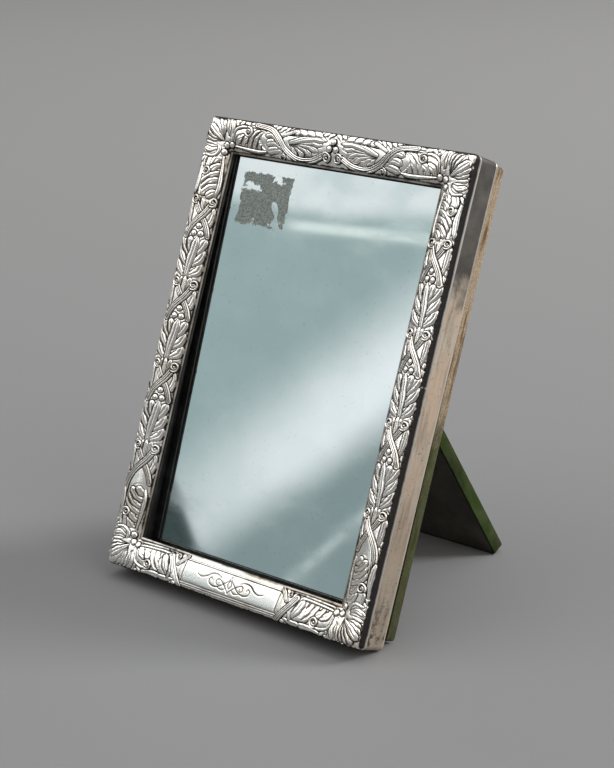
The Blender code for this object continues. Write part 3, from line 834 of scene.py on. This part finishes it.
def mixed(share, first, second):
    """A colour between two. The node's sockets 6 and 7 are its two colours, and its output 2 is their mix."""
    item = add(share.tree, "ShaderNodeMix", {"Factor": share, 6: first, 7: second}, data_type="RGBA")
    return Value(item.outputs[2])


def bump(height, strength, distance):
    values = {"Height": height, "Strength": strength, "Distance": distance}
    return Value(add(height.tree, "ShaderNodeBump", values).outputs["Normal"])


def split(place):
    """The x, y and z of a place."""
    return [Value(socket) for socket in add(place.tree, "ShaderNodeSeparateXYZ", {0: place}).outputs]


def on_bench(place):
    """The place as it lay on the bench: x across the frame, y up it, z out of its face."""
    shift = {0: place, 1: tuple(-stand_up.translation)}
    moved = Value(add(place.tree, "ShaderNodeVectorMath", shift, operation="ADD").outputs["Vector"])
    return stretch(moved, (1, 1, 1), (LEAN - math.pi / 2, 0, 0))


def new_material(name):
    """A material, its Principled shader, and the place on the object."""
    material = bpy.data.materials.new(name)
    material.use_nodes = True
    nodes = material.node_tree.nodes
    place = Value(nodes.new("ShaderNodeTexCoord").outputs["Object"])
    return material, nodes["Principled BSDF"], place


def join(shader, **values):
    """Joins or sets the shader's sockets, named with _ for a space."""
    for key, value in values.items():
        feed(shader.inputs[key.replace("_", " ")], value)


def new_group(name, inputs, outputs):
    """A node group. Its input Place is a vector, and its other inputs and its outputs are numbers."""
    group = bpy.data.node_groups.new(name, "ShaderNodeTree")
    for title in inputs:
        kind = "NodeSocketVector" if title == "Place" else "NodeSocketFloat"
        group.interface.new_socket(title, in_out="INPUT", socket_type=kind)
    for title in outputs:
        group.interface.new_socket(title, in_out="OUTPUT", socket_type="NodeSocketFloat")
    given = {socket.name: Value(socket) for socket in group.nodes.new("NodeGroupInput").outputs}
    return group, given, group.nodes.new("NodeGroupOutput").inputs


def use(group, place, scale, **values):
    """Places a group in the material that the place belongs to, and gives back its outputs."""
    item = add(place.tree, "ShaderNodeGroup", {"Place": place, "Scale": scale, **values}, node_tree=group)
    return {socket.name: Value(socket) for socket in item.outputs}


print("helpers ready")

# %% [markdown]
# ## Effects that several finishes share
# Dust and hand grime lie on everything, in soft patches and fine specks. Rubbed metal has short fine
# scratches that run all ways. Each effect could be drawn again in every material. It is one node group
# instead, with named inputs, so that each material only gives it its own values.

# %% Shared effects
SCRATCH_TURNS = (0.3, 1.4, 2.5)
SCRATCH_STRETCH = (1, 14, 1)

grime_group, given, result = new_group("grime", ("Place", "Scale", "Amount"), ("Mask", "Specks"))
patches = noise(given["Place"], given["Scale"], 6, 0.62)
cloud = span(patches, 0.42, 0.72)
fine = noise(given["Place"], given["Scale"] * 9, 2)
dots = span(fine, 0.64, 0.74)
feed(result["Mask"], cloud * given["Amount"])
feed(result["Specks"], dots * given["Amount"])

scratch_group, given, result = new_group("fine_scratches", ("Place", "Scale"), ("Height",))
streaks = None
for turn in SCRATCH_TURNS:
    along = stretch(given["Place"], SCRATCH_STRETCH, (turn, turn * 0.7, turn))
    one = span(noise(along, given["Scale"], 2), 0.5, 0.62)
    streaks = one if streaks is None else one.maths("MAXIMUM", streaks, one)
feed(result["Height"], streaks)

pile_group, given, result = new_group("velvet_pile", ("Place", "Scale"), ("Height", "Lie", "Tuft"))
lie = noise(stretch(given["Place"], (1, 1, 0.45)), 60, 6, 0.66, 0.6)
tuft = noise(given["Place"], given["Scale"], 2, 0.7)
feed(result["Height"], lie * 0.6 + tuft)
feed(result["Lie"], span(lie, 0.3, 0.72))
feed(result["Tuft"], tuft)
print("groups", [group.name for group in bpy.data.node_groups])

# %% [markdown]
# ## Silver
# The relief is bright where it is rubbed and nearly black in its hollows, and its inner slope carries
# painted shade. Tarnish on silver starts yellow, turns brown and ends black, so the mix goes through a
# warm tone. The side walls were never polished: their upper third is dark and mottled, and lower down they
# are paler, with a pink and tan cast where plating has thinned. Along the top of each wall runs a black
# band of painted shade under the moulding, and the rolled back edge has a painted highlight. Distances in
# these materials are in metres on the bench axes.

# %% Silver materials
POLISHED = (0.93, 0.91, 0.87)
WARM_TARNISH = (0.42, 0.33, 0.22)
BLACK_TARNISH = (0.016, 0.014, 0.013)
WALL_DARK = (0.1, 0.092, 0.083)
WALL_MOTTLE = (0.24, 0.225, 0.205)
WALL_PALE = (0.78, 0.66, 0.52)
WALL_PINK = (0.7, 0.55, 0.42)
WALL_SPECK = (0.05, 0.04, 0.032)
WALL_PAINTED_SHADE = (0.025, 0.022, 0.02)
WALL_STAIN = (0.07, 0.05, 0.035)
ROLL_HIGHLIGHT = (0.74, 0.68, 0.6)
INSIDE_DEEP = (0.01, 0.009, 0.008)
INSIDE_PALE = (0.04, 0.034, 0.028)
DARK_START = 0.15
DARK_FULL = 0.162
SHADE_START = -0.002
SHADE_FULL = -0.0009
STAIN_TOP = 0.035
ROLL_START = -0.0153
ROLL_FULL = -0.0159


def relief_silver():
    material, shader, place = new_material("chased_silver")
    attribute = add(place.tree, "ShaderNodeAttribute", attribute_name="tarnish_and_shade")
    grime = use(grime_group, place, 120, Amount=0.5)
    scratches = use(scratch_group, place, 420)["Height"]
    # The attribute holds the tarnish of the hollows and the painted shade of the inner slope.
    ragged = Value(attribute.outputs["Fac"]) + grime["Mask"] * 0.35 + grime["Specks"] * 0.06
    warm = span(ragged, 0.1, 0.45)
    black = span(ragged, 0.28, 0.72)
    warmth = span(noise(place, 22, 2), 0.35, 0.7, 0.25, 0.8)
    bright = mixed(warm * warmth, POLISHED, WARM_TARNISH)
    colour = mixed(black, bright, BLACK_TARNISH)
    rough = span(ragged, 0, 0.9, 0.27, 0.62)
    normal = bump(noise(place, 1500, 2) + scratches * 0.3, 0.06, 0.00005)
    metallic = span(ragged, 0.5, 1, 1, 0.6)
    join(shader, Base_Color=colour, Roughness=rough, Metallic=metallic, Normal=normal)
    return material


def wall_silver():
    material, shader, place = new_material("tarnished_side_wall")
    bench = on_bench(place)
    x, y, z = split(bench)
    brushed = noise(stretch(bench, (1, 0.14, 1)), 330, 4, 0.65)
    cloud = noise(bench, 42, 6, 0.62)
    upper = span(y + (cloud - 0.5) * 0.05, DARK_START, DARK_FULL)
    pink = mixed(span(cloud, 0.42, 0.6), WALL_PALE, WALL_PINK)
    mottled = mixed(span(brushed, 0.42, 0.7, 0, 0.4), pink, WALL_DARK)
    topped = mixed(span(cloud, 0.35, 0.62, 0, 0.55), WALL_DARK, WALL_MOTTLE)
    colour = mixed(upper, mottled, topped)
    specks = use(grime_group, bench, 90, Amount=1)["Specks"]
    colour = mixed(specks * 0.7, colour, WALL_SPECK)
    # Painted shade: a black band along the top of the wall, under the moulding.
    front = z + (brushed - 0.5) * 0.004
    colour = mixed(span(front, SHADE_START, SHADE_FULL, 0, 0.92), colour, WALL_PAINTED_SHADE)
    colour = mixed(span(y, 0.02, 0.12, 0.34, 0), colour, WALL_DARK)
    blotch = span(noise(bench, 260, 4, 0.7), 0.5, 0.62)
    colour = mixed(span(y, 0, STAIN_TOP, 1, 0) * blotch, colour, WALL_STAIN)
    # Painted highlight: the rolled back edge is paler where light catches it.
    colour = mixed(span(z, ROLL_START, ROLL_FULL, 0, 0.7), colour, ROLL_HIGHLIGHT)
    scratches = use(scratch_group, bench, 300)["Height"]
    normal = bump(brushed + scratches * 0.4, 0.25, 0.0001)
    rough = span(cloud, 0.3, 0.7, 0.36, 0.52)
    join(shader, Base_Color=colour, Roughness=rough, Metallic=0.75, Normal=normal)
    return material


def inside_silver():
    material, shader, place = new_material("black_inside_of_silver")
    cloud = noise(place, 200, 4)
    colour = mixed(cloud, INSIDE_DEEP, INSIDE_PALE)
    join(shader, Base_Color=colour, Roughness=span(cloud, 0.3, 0.7, 0.6, 0.8), Metallic=0.3)
    return material


silver_finishes = (relief_silver(), wall_silver(), inside_silver())
for rail in silver_rails:
    for finish in silver_finishes:
        rail.data.materials.append(finish)
print("silver on", len(silver_rails), "rails")

# %% [markdown]
# ## Old mirror glass
# The silvering lies behind the glass, which tints what it reflects a little blue green. It has clouded with
# age, and a patch in the upper left corner has lifted from the glass and shows mottled grey. Smudges and
# dust scatter some light over the rest. The coat stands for the smooth glass over the worn silvering.

# %% Mirror material
PATCH_LEFT = -0.0518
PATCH_RIGHT = -0.0232
PATCH_LOW = 0.1695
PATCH_HIGH = 0.193
PATCH_EDGE = 4e-4
PATCH_WANDER = 0.006
SILVERING_DULL = (0.76, 0.83, 0.83)
SILVERING_CLEAR = (0.83, 0.88, 0.88)
LIFTED_DARK = (0.085, 0.105, 0.09)
LIFTED_PALE = (0.27, 0.3, 0.27)
GLASS_SPECK = (0.35, 0.38, 0.38)


def between(value, low, high):
    """A mask that is 1 from low to high and fades out over the patch's thin edge."""
    return span(value, low - PATCH_EDGE, low) * span(value, high + PATCH_EDGE, high)


def patch_mask(flat, ragged):
    """A ragged block in the upper left corner of the plate, where the silvering has lifted."""
    x, y, z = split(flat)
    wander = (ragged - 0.5) * PATCH_WANDER
    return between(x + wander, PATCH_LEFT, PATCH_RIGHT) * between(y + wander, PATCH_LOW, PATCH_HIGH)


def mirror_material():
    material, shader, place = new_material("aged_mirror")
    flat = on_bench(place)
    hole = span(noise(flat, 95, 3, 0.6, 0.8), 0.58, 0.63)
    lifted = patch_mask(flat, noise(flat, 330, 5, 0.7)) * (1 - hole)
    grain = noise(flat, 1400, 3, 0.7)
    dull = mixed(span(grain, 0.35, 0.65), LIFTED_DARK, LIFTED_PALE)
    haze = noise(flat, 26, 6, 0.6)
    silvering = mixed(span(haze, 0.35, 0.7), SILVERING_DULL, SILVERING_CLEAR)
    specks = use(grime_group, flat, 60, Amount=1)["Specks"]
    silvering = mixed(specks * 0.16, silvering, GLASS_SPECK)
    colour = mixed(lifted, silvering, dull)
    smear = span(noise(stretch(flat, (1, 2.6, 1), (0, 0, 0.6)), 30, 6), 0.42, 0.75)
    rough = smear * 0.06 + 0.045 + lifted * 0.4
    normal = bump(noise(flat, 9, 2) + grain * 0.002, 0.05, 0.0006)
    join(shader, Base_Color=colour, Roughness=rough, Metallic=1 - lifted * 0.85, Normal=normal)
    join(shader, Coat_Weight=0.35, Coat_Roughness=0.03, Coat_IOR=1.5)
    return material


mirror_plate.data.materials.append(mirror_material())
print("mirror plate has", mirror_plate.data.materials[0].name)

# %% [markdown]
# ## Velvet, lining and wood
# Velvet is dark where you look into its pile and pale where light grazes it. That pale rim is the shader's
# sheen. Patches of pile lie different ways, which the pile group gives. On the sides of the back board the
# pile is worn to tan threads in the upper half. The leg's lining is a brown paper, and the core is
# blackened wood.

# %% Cloth, paper and wood
PILE_DEEP = (0.01, 0.016, 0.003)
PILE_LIGHT = (0.036, 0.06, 0.009)
PILE_SHADE = (0.012, 0.018, 0.006)
THREADS = (0.42, 0.32, 0.23)
THREADS_DULL = (0.22, 0.17, 0.11)
THREADS_BROWN = (0.13, 0.075, 0.035)
DUST = (0.22, 0.22, 0.17)
WOOD_DUST = (0.12, 0.11, 0.1)
METAL_SPECK = (0.05, 0.035, 0.02)
EDGE_START = 0.0741
EDGE_FULL = 0.0747
WEAR_LOW = 0.078
WEAR_HIGH = 0.112


def velvet_material(name, wear):
    material, shader, place = new_material(name)
    pile = use(pile_group, place, 1300)
    colour = mixed(pile["Lie"], PILE_DEEP, PILE_LIGHT)
    colour = mixed(span(pile["Tuft"], 0.3, 0.7, 0, 0.5), colour, PILE_SHADE)
    x, y, z = split(place)
    climb = z + (noise(place, 150, 4, 0.65) - 0.5) * 0.05
    high = span(climb, WEAR_LOW, WEAR_HIGH, 0.12, 1)
    rubbed = high * span(abs(x), EDGE_START, EDGE_FULL) * wear
    threads = mixed(span(pile["Tuft"], 0.35, 0.65), THREADS, THREADS_DULL)
    stripe = noise(stretch(on_bench(place), (1, 0.1, 1)), 420, 3, 0.6)
    threads = mixed(span(stripe, 0.48, 0.64), threads, THREADS_BROWN)
    colour = mixed(rubbed, colour, threads)
    colour = mixed(use(grime_group, place, 75, Amount=0.1)["Mask"], colour, DUST)
    normal = bump(pile["Height"], 0.6, 0.0004)
    join(shader, Base_Color=colour, Roughness=0.95, Normal=normal, Specular_IOR_Level=0.15)
    join(shader, Sheen_Weight=0.12, Sheen_Roughness=0.4, Sheen_Tint=(0.5, 0.6, 0.3))
    return material


def paper_material(name, first, second, scale):
    material, shader, place = new_material(name)
    cloud = noise(place, scale, 6, 0.65)
    fibre = noise(stretch(place, (1, 1, 6), (0.4, 0.2, 0.9)), 700, 3)
    colour = mixed(span(cloud, 0.35, 0.68), first, second)
    stain = use(grime_group, place, 70, Amount=0.6)["Mask"]
    colour = mixed(stain, colour, tuple(0.45 * part for part in first))
    normal = bump(fibre + cloud * 2, 0.4, 0.0002)
    join(shader, Base_Color=colour, Roughness=span(cloud, 0.3, 0.7, 0.72, 0.9), Normal=normal)
    return material


def wood_material(name, first, second):
    material, shader, place = new_material(name)
    grain = noise(stretch(place, (9, 9, 1), (-LEAN, 0, 0)), 60, 6, 0.6, 0.7)
    colour = mixed(span(grain, 0.35, 0.65), first, second)
    colour = mixed(use(grime_group, place, 110, Amount=0.35)["Mask"], colour, WOOD_DUST)
    rough = span(grain, 0.3, 0.7, 0.5, 0.75)
    join(shader, Base_Color=colour, Roughness=rough, Normal=bump(grain, 0.4, 0.0002))
    return material


def worn_metal(name, bright, dull):
    material, shader, place = new_material(name)
    grime = use(grime_group, place, 160, Amount=1)
    scratches = use(scratch_group, place, 500)["Height"]
    colour = mixed(grime["Mask"], bright, dull)
    colour = mixed(grime["Specks"] * 0.6, colour, METAL_SPECK)
    rough = grime["Mask"] * 0.3 + 0.3
    normal = bump(scratches, 0.2, 0.00008)
    join(shader, Base_Color=colour, Roughness=rough, Metallic=0.95, Normal=normal)
    return material


back_cover.data.materials.append(velvet_material("green_velvet_worn_edges", 1))
leg_cover.data.materials.append(velvet_material("green_velvet", 0.3))
wood = wood_material("blackened_wood", (0.006, 0.006, 0.006), (0.018, 0.016, 0.014))
board = wood_material("thin_board", (0.2, 0.13, 0.07), (0.32, 0.22, 0.13))
lining = paper_material("dark_lining_paper", (0.045, 0.038, 0.03), (0.085, 0.075, 0.06), 55)
brass = worn_metal("old_brass", (0.62, 0.43, 0.17), (0.2, 0.12, 0.05))
NODE_FINISH = {
    "core_": wood,
    "back_board": board,
    "leg_board": board,
    "backing_card": paper_material("backing_card", (0.3, 0.23, 0.15), (0.4, 0.32, 0.22), 40),
    "leg_lining": lining,
    "hinge_": brass,
    "back_tack": brass,
    "glazing_": worn_metal("rusted_iron", (0.22, 0.19, 0.17), (0.13, 0.06, 0.03)),
}
for node_name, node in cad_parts.items():
    for start, finish in NODE_FINISH.items():
        if node_name.startswith(start):
            node.data.materials.clear()
            node.data.materials.append(finish)
print("finishes", len(set(NODE_FINISH.values())))

# %% [markdown]
# ## Studio
# Silver and glass show little of their own: they show the room. So the room has broad soft lights, a darker
# side, and two cards that only reflections see. The floor is a plain sheet, darkened towards the front as
# painted shade.

# %% Floor and lights
AIM = (0, 0, 0.1)
FLOOR_NEAR_SHADE = (0.178, 0.178, 0.18)
FLOOR_FAR = (0.262, 0.259, 0.252)
ROOM_LOW = (0.3, 0.3, 0.3)
ROOM_HIGH = (0.62, 0.63, 0.65)
ROOM_GLOW = 0.62

bpy.ops.mesh.primitive_plane_add(size=40, location=(0, 0, 0))
floor = bpy.context.active_object
floor.name = "floor"
floor_material, shader, place = new_material("pale_floor")
x, y, z = split(place)
# Painted shade: the floor is darker towards the front and paler towards the back.
away = y * 0.77 - x * 0.4 + noise(place, 3, 4) * 0.1
join(shader, Base_Color=mixed(span(away, -0.4, 1.5), FLOOR_NEAR_SHADE, FLOOR_FAR), Roughness=0.85)
floor.data.materials.append(floor_material)


def towards_aim(place):
    """The turn that faces the mirror from a place."""
    return (Vector(AIM) - Vector(place)).to_track_quat("-Z", "Y").to_euler()


def soft_light(name, place, size, power, colour=(1, 1, 1)):
    lamp = bpy.data.lights.new(name, "AREA")
    lamp.shape = "RECTANGLE"
    lamp.size, lamp.size_y = size
    lamp.energy = power
    lamp.color = colour
    holder = bpy.data.objects.new(name, lamp)
    bpy.context.scene.collection.objects.link(holder)
    holder.location = place
    holder.rotation_euler = towards_aim(place)


soft_light("window_light", (-1.8, -2, 3), (3.2, 3.2), 30)
soft_light("side_light", (3, -0.4, 1.8), (2, 2.8), 36, (1, 0.96, 0.9))
soft_light("top_light", (0.4, 0.8, 3.8), (3.2, 3.2), 60)
soft_light("back_light", (3, 2.6, 2.7), (1.5, 1.5), 180)

world = bpy.data.worlds.new("room")
world.use_nodes = True
bpy.context.scene.world = world
background = world.node_tree.nodes["Background"]
direction = Value(world.node_tree.nodes.new("ShaderNodeTexCoord").outputs["Generated"])
x, y, z = split(direction)
feed(background.inputs["Color"], mixed(span(z, -0.1, 0.9), ROOM_LOW, ROOM_HIGH))
feed(background.inputs["Strength"], ROOM_GLOW)
print("lights", [lamp.name for lamp in bpy.data.lights])

# %% [markdown]
# The first card is what the mirror shows: the soft diagonal bands of a bright window and its curtain. It is
# made in the plane of the glass and then scaled up about the mirror image of the camera, so that what is
# drawn at a place of the glass is what the camera sees there. It casts no shadow.

# %% Reflection card
CARD_REACH = 1.75
CARD_HALF = 0.115
CARD_HEIGHT = 0.3
BAND_SLOPE = 0.9
BAND_CREST = -0.1404
STREAK_SLOPE = 1.2
RAIL_SLOPE = 0.065
CORNER_SLOPE = 1.157
BAND_RISE = (BAND_CREST + 0.062, BAND_CREST + 0.004)
BAND_FALL = (BAND_CREST - 0.036, BAND_CREST - 0.004)
STREAK_RISE = (-0.2225, -0.2175)
STREAK_FALL = (-0.2105, -0.2155)
PALE_RISE = (-0.0262, -0.0175)
RAIL_RISE = (-0.0342, -0.0318)
RAIL_FALL = (-0.0276, -0.0298)
CORNER_RISE = (-0.219, -0.225)
CARD_TEAL = (0.36, 0.45, 0.455)
CARD_DARK = (0.27, 0.335, 0.34)
CARD_BRIGHT = (0.93, 0.96, 0.98)
CARD_PALE = (0.88, 0.9, 0.91)
CARD_CLOUD = (0.6, 0.68, 0.7)
CARD_RAIL = (0.86, 0.93, 0.9)
CARD_CORNER = (0.045, 0.065, 0.065)


def glow_material(name):
    """A material that only shines. Gives back its emission's inputs and the place on the object."""
    material = bpy.data.materials.new(name)
    material.use_nodes = True
    nodes = material.node_tree.nodes
    nodes.clear()
    glow = nodes.new("ShaderNodeEmission")
    feed(nodes.new("ShaderNodeOutputMaterial").inputs["Surface"], Value(glow.outputs[0]))
    return material, glow.inputs, Value(nodes.new("ShaderNodeTexCoord").outputs["Object"])


def card_material():
    material, glow, place = glow_material("window_and_curtain")
    x, y, z = split(place)
    cloud = noise(place, 16, 4) - 0.5
    slant = y - x * BAND_SLOPE + cloud * 0.014
    colour = mixed(span(slant, BAND_CREST + 0.055, BAND_CREST - 0.04), CARD_TEAL, CARD_DARK)
    band = span(slant, *BAND_RISE) * span(slant, *BAND_FALL)
    colour = mixed(band * span(x, -0.06, 0.04, 0.55, 1), colour, CARD_BRIGHT)
    steep = y - x * STREAK_SLOPE
    streak = span(steep, *STREAK_RISE) * span(steep, *STREAK_FALL)
    colour = mixed(streak * 0.4, colour, CARD_BRIGHT)
    rail = y - x * RAIL_SLOPE
    clouded = span(noise(stretch(place, (1, 1.5, 1)), 34, 3), 0.45, 0.68, 0, 0.75)
    white = mixed(clouded, CARD_PALE, CARD_CLOUD)
    colour = mixed(span(rail + cloud * 0.02, *PALE_RISE), colour, white)
    edge = span(rail, *RAIL_RISE) * span(rail, *RAIL_FALL)
    colour = mixed(edge * span(x, -0.032, -0.012), colour, CARD_RAIL)
    corner_line = y + x * CORNER_SLOPE
    colour = mixed(span(corner_line, *CORNER_RISE), colour, CARD_CORNER)
    feed(glow["Color"], colour)
    return material


def show_in_reflections_only(sheet):
    sheet.visible_camera = False
    sheet.visible_shadow = False
    sheet.visible_diffuse = False


local = glass_axes.inverted() @ Vector(CAMERA_PLACE)
eye = glass_axes @ Vector((local.x, local.y, -local.z))
bpy.ops.mesh.primitive_plane_add(size=1, location=(0, 0, 0))
card = bpy.context.active_object
card.name = "reflection_card"
on_glass = Matrix.Translation((0, -GLASS_LENGTH / 2 * MM, 0))
card.data.transform(on_glass @ Matrix.Diagonal((2 * CARD_HALF, CARD_HEIGHT, 1, 1)))
enlarge = Matrix.Translation(eye) @ Matrix.Scale(CARD_REACH, 4) @ Matrix.Translation(-eye)
card.matrix_world = enlarge @ glass_axes
card.data.materials.append(card_material())
show_in_reflections_only(card)
print("card at", [round(part, 2) for part in card.matrix_world.translation])

# %% [markdown]
# The silver also needs a broad bright window high on the left to mirror. A stronger lamp would light the
# floor too, so it is a second card for reflections only.

# %% Window card
WINDOW_PLACE = (-0.95, -1.06, 1.58)
WINDOW_SIDE = 2.3
WINDOW_GLOW = 3

window_material, glow, place = glow_material("window_glow")
feed(glow["Color"], (1, 1, 1))
feed(glow["Strength"], WINDOW_GLOW)
bpy.ops.mesh.primitive_plane_add(size=WINDOW_SIDE, location=WINDOW_PLACE)
window_card = bpy.context.active_object
window_card.name = "window_card"
window_card.rotation_euler = towards_aim(WINDOW_PLACE)
window_card.data.materials.append(window_material)
show_in_reflections_only(window_card)
print("window card glow", WINDOW_GLOW)
